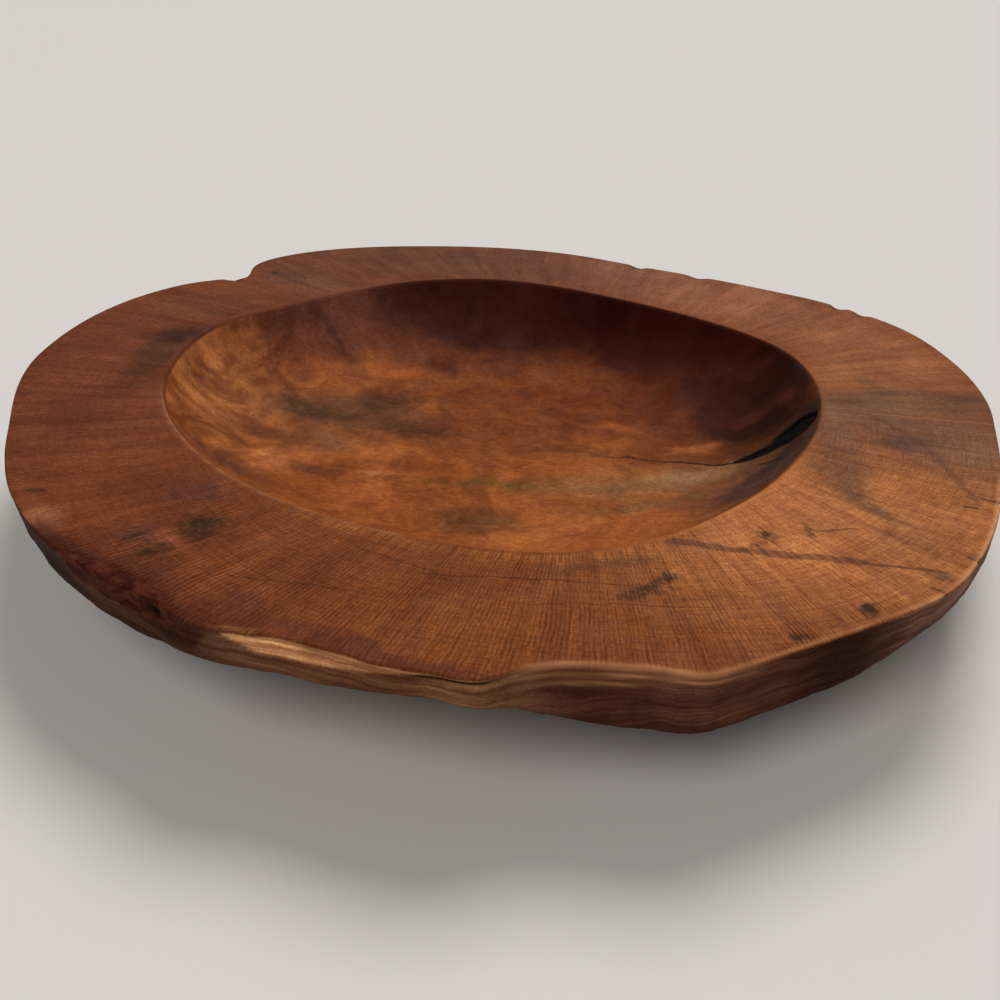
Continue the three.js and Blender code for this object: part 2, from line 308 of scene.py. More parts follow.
sideTones = {
    "base": (92, 56, 38),
    "stretches": [  # start and end azimuth, fade, colour, strength
        (246, 276, 4, (118, 75, 51), 0.9),  # front
        (274, 297, 4, (92, 54, 38), 0.9),
        (296, 342, 5, (47, 22, 14), 0.9),  # right front
        (305, 342, 4, (124, 85, 68), 0.9),
        (170, 234, 4, (48, 33, 27), 0.9),  # left
        (232, 250, 4, (92, 60, 46), 0.9),
    ],
    "sapwood": (206, 143, 96),  # pale lens under the front edge, and its thickness by azimuth
    "sapwoodAt": (249.5, 252.5, 255, 258, 261, 264, 266.5),
    "sapwoodThick": (0, 4.4, 4.7, 4.1, 2.9, 1.6, 0),
    "sapwoodTop": 1.2,
    "sapwoodSoft": 0.6,
}
marks = [  # dark stains: x, y, half length, half width, turn, strength
    (-79.6, -119.4, 9, 8, 60, 0.95),  # left inner knot
    (-88.3, -132, 7, 5, 35, 0.85),  # left outer knot
    (-94.5, -127.5, 7, 5, 0, 0.65),
    (47.9, -134.2, 5, 3, 30, 1),  # front stain
    (40.6, -141, 9, 3.6, 33, 0.9),
    (52.5, -143, 5, 1.2, 5, 0.5),
    (80, -109.5, 5, 4.5, 60, 0.8),  # right inner knot
    (75, -115, 4, 2, 20, 0.65),
    (92.7, -105, 5, 1.5, 100, 0.8),  # right middle knot
    (98.6, -143.9, 4.5, 3, 50, 1),  # right outer knot
    (77.5, -157.5, 3, 2.6, 0, 0.9),  # right edge knot
    (88, -151, 8, 2.4, 25, 0.5),
    (-61, -165.6, 3, 0.9, 0, 0.75),  # flecks under the pale specks
    (-54, -166, 3, 0.9, 0, 0.7),
    (-110, 117, 3, 2.5, 0, 0.8),  # back knot
    (-132.5, -103.5, 7, 1.5, 8, 0.75),  # slit at the left edge
    (-131, -97.5, 4, 2.5, 0, 0.5),
]


patchBorder = {
    "waves": [(26, 2.5, (3, 4)), (7, 1.8, (5, 6))],  # length and reach of the wavering, and its seeds
    "plateau": 1.4,  # a patch is full where this many times its bell is over 1
}
edgeStainAndShade = {  # dark red over and round the edge bark, bark stain deepened with painted shade where the edge rolls away from the light; arcs run down from the rim's corner
    "where": (225, 250, 4),  # start and end azimuth, fade
    "colour": (60, 24, 14),
    "strength": 0.85,
    "overRim": (-7, 0),
    "azimuths": (226, 238, 241, 246.5, 248.5),
    "lowest": (3, 3, 10, 10, 2),
    "soft": 1.5,
}


def ovals(points, x, y, length, width, turn):  # bell over a turned oval, 1 at its middle
    angle = np.radians(turn)
    dx, dy = points[..., 0] - x, points[..., 1] - y
    along = (dx * np.cos(angle) + dy * np.sin(angle)) / length
    across = (dy * np.cos(angle) - dx * np.sin(angle)) / width
    return np.exp(-(along ** 2 + across ** 2))


def over(colour, share, upper):  # one colour over another, by a share for each point
    return colour + share[..., None] * (upper - colour)


def layPatches(points, patches, colour):  # each patch over the ones before, its border wavering
    shifted = points.copy()
    for length, reach, seeds in patchBorder["waves"]:
        shifted[..., :2] += reach * np.stack([ripples(points, length, seed) for seed in seeds], -1)
    colour = np.broadcast_to(colour, points.shape)
    for x, y, length, width, turn, patch, strength in patches:
        bell = ovals(shifted, x, y, length, width, turn)
        colour = over(colour, strength * np.minimum(1, patchBorder["plateau"] * bell), linear(patch))
    return colour


def layTones(points, tones):
    return layPatches(points, tones["patches"], linear(tones["base"])) * tones["balance"]


def laySide(azimuth, arc):  # stretches of colour by azimuth, then the lens of sapwood under the edge
    s = sideTones
    colour = np.broadcast_to(linear(s["base"]), (*arc.shape, 3))
    for start, end, fade, patch, strength in s["stretches"]:
        colour = over(colour, strength * window(azimuth, start, end, fade), linear(patch))
    thick = np.interp(azimuth, s["sapwoodAt"], s["sapwoodThick"], 0, 0)
    soft = s["sapwoodSoft"]
    lens = smooth(soft, -soft, arc - s["sapwoodTop"] - thick) * smooth(0, 0.8, thick)
    return over(colour, lens, linear(s["sapwood"]))


def wavyArc(points, arc):  # arc past the rim's corner, with wavering borders
    return arc + 1.5 * ripples(points, 12, 32)


# Dark red stain and painted shade over and round the edge bark
def layEdgeStainAndShade(points, azimuth, arc, colour, where):
    e = edgeStainAndShade
    wavy = wavyArc(points, arc)
    lowest = np.interp(azimuth, e["azimuths"], e["lowest"])
    share = window(azimuth, *e["where"]) * smooth(*e["overRim"], wavy) * where
    share = share * smooth(e["soft"], -e["soft"], wavy - lowest)
    return over(colour, e["strength"] * share, linear(e["colour"]))


def layMarks(points):  # darkest of the ovals at each point
    dark = np.zeros(points.shape[:-1])
    for x, y, length, width, turn, strength in marks:
        dark = np.maximum(dark, strength * ovals(points, x, y, length, width, turn))
    return dark


# Bowl body: one section for each azimuth, foot to edge to rim to hollow

body = {
    "backStep": 0.7,  # degrees between sections
    "frontStep": 0.5,
    "checkStep": 0.2,
    "checkFrom": 342,
    "checkTo": 361,
    "footRows": 4,
    "footStart": 0.25,  # share of the foot's radius where its rows begin
    "undersideRows": 8,
    "cornerRows": 8,
    "sideRows": 14,
    "sideCrowding": 0.8,  # powers that crowd rows towards the edge
    "rimRows": 38,
    "rimCrowding": 1.15,
    "lipRows": 5,
    "lipPull": 0.2,  # how far outside the lip its corner is pulled
    "wallRows": 25,
    "floorRows": 24,
    "floorShare": 0.74,  # of the way to the lip, where the closer rows of the wall begin
    "gougeDepth": 0.3,  # carving marks in the hollow, full from this far below the rim
    "gougeFrom": 6,
    "sideRough": 0.4,
    "nicks": [  # azimuth, half width in degrees, depth
        (332.5, 0.45, 0.5), (319.7, 0.5, 0.6), (312.4, 0.6, 0.6), (66.5, 1.1, 1.2), (56.2, 1.4, 1.1),
        (34, 0.8, 1.7), (30.5, 1, 1), (140.5, 0.8, 1),
    ],
    "undercut": {  # a line under the front edge, deeper towards its right end; where is start, end, fade
        "where": (249, 271.5, 1.5), "deepWhere": (266, 271.5, 1.5), "shallow": 0.35,
        "depth": 0.6, "arc": 2, "tall": 0.35,
    },
}
check = {  # bark-filled check in the hollow's wall: half widths and middle by distance from the axis
    "azimuth": -7.6,
    "radii": (91.5, 95, 98, 101, 104, 107, 110, 113, 115.5, 117.5, 118.5),
    "halfWidths": (0, 1.3, 1.8, 2.4, 3.6, 5, 6.4, 7.4, 7, 4.6, 0),
    "middles": (-3.4, -3.4, -3.2, -2.8, -1.6, -0.2, 0.3, 0.4, 0.3, -0.2, -0.7),
    "depth": 3.4,
    "slimUnder": 2.5,  # half width below which it gets shallower
    "pressed": (-0.6, 0.9),  # distances inside its border where it goes from level to deep, and black with painted shade
    "checkShade": (-2.3, -0.6),
}
farArc = 99  # arc of what lies far from the rim's corner


def checkHalfWidth(radius):
    return np.interp(radius, check["radii"], check["halfWidths"])


def checkMiddle(radius):
    return np.interp(radius, check["radii"], check["middles"])


def checkSlim(radius):
    return np.minimum(1, checkHalfWidth(radius) / check["slimUnder"])


def pressIn(radius, height, lip, deep):  # outwards where the wall is steep, down where it is level
    slope = np.clip((radius / lip) ** 5, 0, 1)
    return radius + deep * slope, height - deep * (1 - 0.7 * slope)


# Each part of a section is its name, radius, height, arc past the rim's corner and lean of its normal:
# straight lines, quarter circles, a power curve underneath, a bent corner at the lip, and the hollow
def bowlSection():
    b = body
    azimuth = np.concatenate([
        np.arange(b["checkTo"] - 360, 180, b["backStep"]),
        np.arange(180, b["checkFrom"], b["frontStep"]),
        np.arange(b["checkFrom"], b["checkTo"], b["checkStep"]),
    ])[None, :]
    lip, edge = lipRadius(azimuth), edgeRadius(azimuth)
    lower = edge + trunk["edgeHeight"] * roundTheBowl(trunk["edgeLeans"], azimuth)
    lowerHeight = rimHeight - trunk["edgeHeight"] * roundTheBowl(trunk["edgeHeights"], azimuth)
    foot, turn, bend = trunk["footRadius"], trunk["lowerCorner"], trunk["edgeCorner"]
    quarter = np.pi / 2 * bend
    cornerFoot = rimHeight - bend
    parts = []

    def column(start, end, rows):
        return np.linspace(start, end, rows, endpoint=False)[:, None]

    def part(name, radius, height, arc, lean):
        parts.append((name, *np.broadcast_arrays(radius, height, arc, lean, azimuth)))

    def sidePart(radius, height, lean):
        part("side", radius, height, quarter + cornerFoot - height, lean)

    share = column(b["footStart"], 1, b["footRows"])
    part("foot", foot * share, 0 * share, farArc, -90)
    share = column(0, 1, b["undersideRows"])
    height = lowerHeight * share ** trunk["undersideCurve"]
    part("underside", foot + share * (lower - turn - foot), height, farArc, -60)
    angle = column(-90, 0, b["cornerRows"])
    out, up = np.cos(np.radians(angle)), np.sin(np.radians(angle))
    sidePart(lower - turn + turn * out, lowerHeight + turn + turn * up, angle)
    share = column(0, 1, b["sideRows"]) ** b["sideCrowding"]
    sidePart(lower + share * (edge - lower), (lowerHeight + turn) * (1 - share) + cornerFoot * share, 0)
    angle = column(0, 90, b["cornerRows"])
    out, up = np.cos(np.radians(angle)), np.sin(np.radians(angle))
    arc = quarter - bend * np.radians(angle)
    part("corner", edge - bend + bend * out, cornerFoot + bend * up, arc, angle)
    share = column(0, 1, b["rimRows"]) ** b["rimCrowding"]
    rimEnd, wallTop = lip + trunk["lipCorner"], lip - trunk["lipCorner"]
    radius = (edge - bend) * (1 - share) + rimEnd * share
    part("rim", radius, rimHeight, radius - edge + bend, 90)
    share = column(0, 1, b["lipRows"])
    start, end = (1 - share) ** 2, share ** 2
    radius = start * rimEnd + (1 - start - end) * (lip + b["lipPull"]) + end * wallTop
    part("lip", radius, (1 - end) * rimHeight + end * hollowHeight(wallTop, lip), -farArc, 135)
    wall, floor = column(1, b["floorShare"], b["wallRows"]), column(b["floorShare"], 0, b["floorRows"])
    radius = wallTop * np.concatenate([wall, floor])
    part("hollow", radius, hollowHeight(radius, lip), -farArc, 135)
    zone = np.repeat([p[0] for p in parts], [len(p[1]) for p in parts])
    return zone, *(np.concatenate([p[i] for p in parts]) for i in range(1, 6))


# Natural edge: how far weathering, the undercut, nicks and the bed of the edge bark sink it
def sinkEdge(points, azimuth, arc):
    weather = 0.5 + 0.5 * ripples(points * (1, 1, 0.5), 13, 11) + 0.25 * ripples(points * (1, 1, 1.6), 4, 12)
    rough = smooth(1, 4, arc) * body["sideRough"] * np.clip(weather, 0, 1.4)
    cut = body["undercut"]
    deep = window(azimuth, *cut["deepWhere"])
    along = window(azimuth, *cut["where"]) * (cut["shallow"] + (1 - cut["shallow"]) * deep)
    line = along * hump(arc, cut["arc"] + 0.3 * ripples(points * (1, 1, 0), 22, 13), cut["tall"])
    nicked = np.zeros_like(arc)
    for at, half, depth in body["nicks"]:
        away = (azimuth - at + 180) % 360 - 180
        nicked = np.maximum(nicked, depth * hump(away, 0, half))
    nicked = nicked * smooth(-6, -1, arc) * smooth(8, 3, arc)
    return rough + cut["depth"] * line + nicked + barkBed(azimuth, arc), line, nicked


# Check: shares pressed in and painted black as shade in the gap, by the distance inside its frayed border
def openCheck(points, radius, azimuth, onWall):
    half = checkHalfWidth(radius)
    turned = np.radians(azimuth - check["azimuth"])
    frayed = half + 0.5 * ripples(points, 9, 23) * np.minimum(1, half / 2)
    inside = frayed - np.abs(radius * np.sin(turned) - checkMiddle(radius))
    there = (np.cos(turned) > 0) * (half > 0) * (onWall > 0)
    return smooth(*check["pressed"], inside) * there, smooth(*check["checkShade"], inside) * there


def buildBody():
    zone, radius, height, arc, lean, azimuth = bowlSection()

    def onZone(*names):  # 1 on the rows of these parts, 0 elsewhere
        return np.isin(zone, names)[:, None] * np.ones_like(radius)

    outside, rim, wall = onZone("side", "corner"), onZone("rim", "lip"), onZone("hollow", "lip")
    points = polar(radius, azimuth, height)
    gouges = ripples(points * (1, 1, 0.6), 24, 21) + 0.4 * ripples(points, 11, 22)
    carved = body["gougeDepth"] * (1 + gouges) * smooth(0, body["gougeFrom"], rimHeight - height)
    sunk, line, nicked = sinkEdge(points, azimuth, arc)
    sunk = sunk * (outside + rim)
    radius = radius - sunk * np.cos(np.radians(lean))
    height = height - sunk * np.sin(np.radians(lean)) - onZone("hollow") * carved
    pressed, checkShade = openCheck(points, radius, azimuth, wall)
    deep = check["depth"] * pressed * checkSlim(radius)
    radius, height = pressIn(radius, height, lipRadius(azimuth), deep)
    points = polar(radius, azimuth, height)
    bowl = closedSurface("bowl_wood", points, (0, 0, 0), (0, 0, floorHeight - body["gougeDepth"]))
    place(bowl, "bowl_body")
    # Painted shade in the undercut line and the nicks
    recessShade = np.maximum(np.clip(1.2 * line, 0, 1) * outside, 0.8 * np.clip(nicked / 1.4, 0, 1))
    paintBody(bowl, onZone, points, radius, azimuth, arc, np.maximum(recessShade, checkShade))
    return bowl


# Colours, wear and painted highlights along the rim's borders; where is start azimuth, end azimuth and fade

borders = {
    "sideStart": (0.8, 1.6),  # arcs between which the top's colours give way to the side's
    "lowerShade": 0.2,  # the side is this much darker between these arcs
    "lowerShadeAt": (6, 13),
    "overLip": {"where": (-30, 150, 10), "outside": 0.8},  # the hollow's tones come over the lip at the back
    "red": {  # dark band on the front left edge, its width by azimuth
        "where": (244, 272, 3), "colour": (90, 42, 24), "strength": 0.88, "soft": 1.3,
        "azimuths": (244, 251, 255, 262, 265, 272), "widths": (9, 9, 7, 6, 3, 1.5),
    },
    "lip": {"where": (242, 300, 8), "colour": (164, 92, 42), "strength": 0.45, "width": (8, 3)},
    "curl": {"where": (145, 205, 12), "least": 0.3, "wall": (70, 98)},  # folded figure, most on the left wall
    "rays": {"where": (232, 345, 14), "least": 0.4, "redLess": 0.55},
}
wearAndHighlights = {  # pale lines, partly wear and partly painted highlight: distance from the lip or the corner, half width, strength
    # the lip's line is a painted highlight; the front's are wear brightened as painted highlight; the right's
    # are wear
    "lip": {"where": (196, 262, 8), "lines": [(0.5, 0.5, 0.42)]},
    "front": {"where": (274, 290, 3), "lines": [(0.9, 1.1, 1), (3.1, 0.55, 0.8)]},
    "frontLow": {"where": (272, 283, 3), "lines": [(5.2, 0.45, 0.5)]},
    "right": {"where": (292, 338, 6), "most": (309, 338, 4), "least": 0.55, "lines": [(0.4, 0.55, 1)]},
}


def wornLines(kind, azimuth, distance):
    lines = [strength * hump(distance, at, half) for at, half, strength in wearAndHighlights[kind]["lines"]]
    return window(azimuth, *wearAndHighlights[kind]["where"]) * np.maximum.reduce(lines)


# Share of the pale lines: wear, and painted highlights on the lip and the front edge
def wornShare(points, azimuth, arc, fromLip, rim, top):
    patchy = 0.85 + 0.35 * ripples(points, 8, 33)
    waved = arc + 0.4 * ripples(points * (1, 1, 0), 20, 34)
    low = wornLines("frontLow", azimuth, waved) * window(azimuth, *wearAndHighlights["front"]["where"])
    front = np.maximum(wornLines("front", azimuth, waved), low)
    least = wearAndHighlights["right"]["least"]
    right = wornLines("right", azimuth, arc) * (least + (1 - least) * window(azimuth, *wearAndHighlights["right"]["most"]))
    lip = wornLines("lip", azimuth, fromLip) * rim
    return np.clip(np.maximum(lip, (front + right) * top) * patchy, 0, 1)


# Tones and shares that the material reads; each number has its own value at the hollow's middle
def paintBody(bowl, onZone, points, radius, azimuth, arc, dark):
    b, red, front, curl, rays = (borders, *(borders[k] for k in ("red", "lip", "curl", "rays")))
    outside, rim = onZone("side", "corner"), onZone("rim", "lip")
    lip, hollow = onZone("lip"), onZone("hollow")
    fromLip = radius - lipRadius(azimuth)
    tone = layTones(points, rimTones)
    overLip = lip * window(azimuth, *b["overLip"]["where"]) * smooth(0, 1, b["overLip"]["outside"] - fromLip)
    tone = over(tone, hollow + overLip, layTones(points, hollowTones))
    border = arc + 0.25 * ripples(points, 9, 31)
    toSide = np.maximum(outside * smooth(*b["sideStart"], border), onZone("foot", "underside"))
    shaded = 1 - b["lowerShade"] * smooth(*b["lowerShadeAt"], arc)
    tone = over(tone, toSide, laySide(azimuth, arc) * shaded[..., None])
    onTop = (1 - toSide) * (rim + outside)
    within = wavyArc(points, arc) + np.interp(azimuth, red["azimuths"], red["widths"])
    redBand = window(azimuth, *red["where"]) * smooth(-red["soft"], red["soft"], within) * onTop
    redBand = np.clip(redBand * (0.9 + 0.25 * ripples(points, 5, 35)), 0, 1)
    tone = over(tone, red["strength"] * redBand, linear(red["colour"]))
    tone = layEdgeStainAndShade(points, azimuth, arc, tone, outside + rim)
    tone = over(tone, onTop, layPatches(points, rimTones["edgeSpecks"], tone))
    lipBand = window(azimuth, *front["where"]) * smooth(*front["width"], fromLip) * onZone("rim")
    tone = over(tone, front["strength"] * lipBand, linear(front["colour"]))
    paintTone(bowl, tone)
    wall = smooth(*curl["wall"], radius) * hollow
    curled = wall * (curl["least"] + (1 - curl["least"]) * window(azimuth, *curl["where"]))
    rayed = rays["least"] + (1 - rays["least"]) * window(azimuth, *rays["where"])
    rayed = rayed * (1 - rays["redLess"] * redBand) * (1 - toSide) * onZone("rim", "lip", "corner")
    numbers = {
        "mark": (layMarks(points) * rim, 0),
        "side": (toSide, 0),
        "hollow": (np.maximum(hollow, 0.5 * lip), 1),
        "curl": (curled, 0),
        "floor": (hollow - wall, 1),
        "rays": (rayed, 0),
        "ticks": (lipBand, 0),
        "wearAndHighlights": (wornShare(points, azimuth, arc, fromLip, rim, outside + rim), 0),
        # painted shade in the undercut, the nicks and the check
        "dark": (dark, 0),
    }
    for name, (values, middle) in numbers.items():
        paintNumber(bowl, name, np.append(values.reshape(-1), [0, middle]))


# Lens-shaped pieces: columns run round an oval, rows from the bottom pole to the border and back to the top

def lensGrid(columns, rows, seed, ragged):
    turn = np.linspace(0, 2 * np.pi, columns, endpoint=False)
    rng = np.random.default_rng(seed)
    phase = rng.uniform(0, 2 * np.pi, 4)
    waves = sum(np.sin((i + 2) * turn + phase[i]) / (i + 1.5) for i in range(4))
    border = 1 + ragged * waves
    out = np.sin(np.linspace(0, np.pi / 2, rows + 1)[1:])
    share = np.concatenate([out, out[-2::-1]])[:, None]
    upper = np.concatenate([-np.ones(rows), np.ones(rows - 1)])[:, None] * np.ones_like(turn)
    return share * border * np.cos(turn), share * border * np.sin(turn), share * np.ones_like(turn), upper


# Edge bark: a rough sliver round the rim's outer corner

edgeBark = {
    "azimuth": 237.4,
    "halfLength": 8.8,  # degrees
    "inner": -4.5,  # along the section: over the rim, round its corner, and down
    "outer": 9.5,
    "bed": 1.4,  # how deep the wood lies under it, and how far inside its border that begins
    "bedBorder": (0.88, 0.75),
    "below": 0.8,  # how far its back reaches past the bed
    "proud": 0.12,
    "tuck": 0.36,  # how far its border dips into the wood
    "rough": 0.16,
    "pitAzimuth": 242.6,
    "pitArc": 3.4,
    "pitHalf": (0.9, 1.7),  # degrees along the edge, millimetres down
    "pitDepth": 1.1,
    "columns": 180,
    "rows": 24,
}


def barkBed(azimuth, arc):  # depth of the bed: full under the bark, none past its border
    along = (azimuth - edgeBark["azimuth"]) / edgeBark["halfLength"]
    middle, half = (edgeBark["inner"] + edgeBark["outer"]) / 2, (edgeBark["outer"] - edgeBark["inner"]) / 2
    return edgeBark["bed"] * smooth(*edgeBark["bedBorder"], np.hypot(along, (arc - middle) / half))


def buildEdgeBark():  # a lens on the section's own line: flush outside, dipping into the wood at its border
    e = edgeBark
    u, v, share, upper = lensGrid(e["columns"], e["rows"], 41, 0.02)
    azimuth = e["azimuth"] + e["halfLength"] * u
    arc = (e["inner"] + e["outer"]) / 2 + (e["outer"] - e["inner"]) / 2 * v
    bend = trunk["edgeCorner"]
    quarter = np.pi / 2 * bend
    angle = np.pi / 2 - np.clip(arc, 0, quarter) / bend
    edge = edgeRadius(azimuth)
    lean = trunk["edgeHeight"] * roundTheBowl(trunk["edgeLeans"], azimuth)
    drop = np.maximum(arc - quarter, 0)
    radius = edge - bend + bend * np.cos(angle) + np.minimum(arc, 0) + lean * drop / trunk["edgeHeight"]
    height = rimHeight - bend + bend * np.sin(angle) - drop
    skinPoints = polar(radius, azimuth, height)
    rough = np.abs(0.6 * ripples(skinPoints, 6, 42) + 0.5 * ripples(skinPoints * (1, 1, 2), 2.4, 43))
    pit = hump(azimuth, e["pitAzimuth"], e["pitHalf"][0]) * hump(arc, e["pitArc"], e["pitHalf"][1])
    face = e["proud"] - e["rough"] * rough - e["pitDepth"] * pit
    border = share ** 10
    lift = np.where(upper > 0, face, -e["bed"] - e["below"]) * (1 - border) - e["tuck"] * border
    points = polar(radius + lift * np.cos(angle), azimuth, height + lift * np.sin(angle))
    bark = closedSurface("edge_bark_sliver", points, points[0].mean(0), points[-1].mean(0))
    place(bark, "edge_bark")
    flat = lambda values: np.append(values.reshape(-1), [values[0].mean(), values[-1].mean()])
    tone = over(layTones(points, rimTones), smooth(*borders["sideStart"], arc), laySide(azimuth, arc))
    paintTone(bark, layEdgeStainAndShade(points, azimuth, arc, tone, 1))
    paintNumber(bark, "core", flat(smooth(1, 0.75, share + 0.1 * ripples(skinPoints, 9, 44))))
    paintNumber(bark, "pit", flat(pit))
    return bark


# Bark in the check: a lumpy strip along the wall

checkBark = {"rows": 92, "columns": 48, "sunk": 0.6, "half": 1.1, "lumps": 0.5}  # sunk: share of the depth


def buildCheckBark():  # an oval carried along the check, as wide as the check and sunk behind the wall
    run = np.linspace(check["radii"][0], check["radii"][-1], checkBark["rows"])[1:-1, None]
    turn = np.linspace(0, 2 * np.pi, checkBark["columns"], endpoint=False)[None, :]
    slim = checkSlim(run)
    sideways = checkMiddle(run) + checkHalfWidth(run) * np.cos(turn)
    deep = (checkBark["sunk"] * check["depth"] - checkBark["half"] * np.sin(turn)) * slim
    azimuth = check["azimuth"] + np.degrees(sideways / run)
    lip = lipRadius(azimuth)
    radius, height = pressIn(run, hollowHeight(run, lip), lip, deep)
    points = polar(radius, azimuth, height)
    points[..., 2] += checkBark["lumps"] * slim * ripples(points, 4, 51)
    strip = closedSurface("check_bark", points[:, ::-1], points[0].mean(0), points[-1].mean(0))
    place(strip, "bark_seam")
    return strip


# Knots: flush oval caps of darker wood in the rim

knots = {
    "columns": 64,
    "rows": 10,
    "ragged": 0.1,
    "size": 5,
    "proud": 0.1,
    "sink": 0.8,
    "each": {  # azimuth, place across the rim, half length along the radius, half width, darkness
        "knot_left_inner": (235.7, 0.39, 2, 1.6, 0.6),
        "knot_left_outer": (234.9, 0.68, 1.8, 2.2, 0.35),
        "knot_front": (286.9, 0.42, 1.2, 3.6, 0.5),
        "knot_right_inner": (305.9, 0.24, 1.2, 1, 0.7),
        "knot_right_middle": (311.9, 0.35, 1.4, 0.6, 0.8),
        "knot_right_outer": (304.4, 0.9, 1.2, 1, 0.9),
        "knot_right_edge": (296.2, 0.9, 0.8, 0.8, 0.9),
        "knot_back": (133.1, 0.7, 1, 0.8, 0.8),
    },
}


def buildKnot(node, seed):  # a low crown with its border sunk into the rim
    azimuth, across, length, width, darkness = knots["each"][node]
    lip, edge = (float(f(np.array(azimuth))) for f in (lipRadius, edgeRadius))
    u, v, share, upper = lensGrid(knots["columns"], knots["rows"], seed, knots["ragged"])
    angle = np.radians(azimuth)
    out = lip + across * (edge + trunk["skin"] - lip) + u * length * knots["size"] / 2
    aside = v * width * knots["size"] / 2
    x = out * np.cos(angle) - aside * np.sin(angle)
    y = out * np.sin(angle) + aside * np.cos(angle)
    crown = np.where(upper > 0, knots["proud"] * (1 - share ** 2), -2 * knots["sink"])
    z = rimHeight + crown * (1 - share ** 8) - knots["sink"] * share ** 8
    points = np.stack([x, y, z], -1)
    knot = closedSurface(node + "_cap", points, points[0].mean(0), points[-1].mean(0))
    place(knot, node)
    placed = pointsOf(knot)
    paintColour(knot, layTones(placed, rimTones))
    paintNumber(knot, "mark", layMarks(placed))
    paintNumber(knot, "rays", np.ones(len(placed)))
    paintNumber(knot, "core", darkness * np.append(1 - share.reshape(-1), [1, 1]))
    return knot


# Small tools for materials

def add(tree, kind, inputs=None, **settings):  # one node; an input is a number or another node's output
    made = tree.nodes.new(kind)
    for key, value in settings.items():
        setattr(made, key, value)
    for key, value in (inputs or {}).items():
        if isinstance(value, bpy.types.NodeSocket):
            tree.links.new(value, made.inputs[key])
        else:
            made.inputs[key].default_value = value
    return made


def calc(tree, operation, *values):
    return add(tree, "ShaderNodeMath", dict(enumerate(values)), operation=operation).outputs[0]


def aim(tree, operation, *values):  # vector sum, difference or product
    return add(tree, "ShaderNodeVectorMath", dict(enumerate(values)), operation=operation).outputs[0]


def grow(tree, vector, scale):
    return add(tree, "ShaderNodeVectorMath", {0: vector, "Scale": scale}, operation="SCALE").outputs[0]


def reach(tree, vector):
    return add(tree, "ShaderNodeVectorMath", {0: vector}, operation="LENGTH").outputs["Value"]


def ease(tree, value, low, high, start=0.0, end=1.0):  # S curve between two values
    inputs = {"Value": value, "From Min": low, "From Max": high, "To Min": start, "To Max": end}
    return add(tree, "ShaderNodeMapRange", inputs, interpolation_type="SMOOTHSTEP").outputs["Result"]


def plus(tree, one, other):
    return calc(tree, "ADD", one, other)


def minus(tree, one, other):
    return calc(tree, "SUBTRACT", one, other)


def times(tree, one, other):
    return calc(tree, "MULTIPLY", one, other)


def lengthAlong(tree, vector, way):  # length of a vector along a way
    made = add(tree, "ShaderNodeVectorMath", {0: vector, 1: way}, operation="DOT_PRODUCT")
    return made.outputs["Value"]


def grain(tree, vector, scale, detail=2.0, roughness=0.5, distortion=0.0, output=0):  # noise
    inputs = {"Vector": vector, "Scale": scale, "Detail": detail}
    inputs |= {"Roughness": roughness, "Distortion": distortion}
    return add(tree, "ShaderNodeTexNoise", inputs).outputs[output]


def layer(tree, share, under, upper, blend="MIX"):
    inputs = {0: share, 6: under, 7: upper}
    return add(tree, "ShaderNodeMix", inputs, data_type="RGBA", blend_type=blend).outputs[2]


def painted(tree, name, output="Fac"):
    return add(tree, "ShaderNodeAttribute", attribute_name=name).outputs[output]


def solid(colour):
    return (*linear(colour), 1)


def newMaterial(name):
    material = bpy.data.materials.new(name)
    material.use_nodes = True
    tree = material.node_tree
    return material, tree, tree.nodes["Principled BSDF"]


def millimetres(tree, centre=(0, 0, 0)):  # place on the object in millimetres from a centre
    here = add(tree, "ShaderNodeTexCoord").outputs["Object"]
    inputs = {"Vector": here, "Location": [-c for c in centre], "Scale": (1000, 1000, 1000)}
    return add(tree, "ShaderNodeMapping", inputs).outputs["Vector"]


# Thin line on the bowl between two points: nearness across it, times a window along it
def thinLine(tree, where, start, end, half, waver):
    run = np.subtract(end, start)
    length = float(np.hypot(*run))
    way = run / length
    fromStart = aim(tree, "SUBTRACT", where, (*start, 0))
    reached = lengthAlong(tree, fromStart, (*way, 0))
    aside = plus(tree, lengthAlong(tree, fromStart, (-way[1], way[0], 0)), waver)
    near = ease(tree, calc(tree, "ABSOLUTE", aside), half, half * 0.35)
    begin = ease(tree, reached, -1.0, length * 0.1)
    finish = ease(tree, reached, length + 1.0, length * 0.9)
    return times(tree, near, times(tree, begin, finish))


# Heartwood: rays that spread from the pith, faint rings, figure in the hollow, and the painted patches

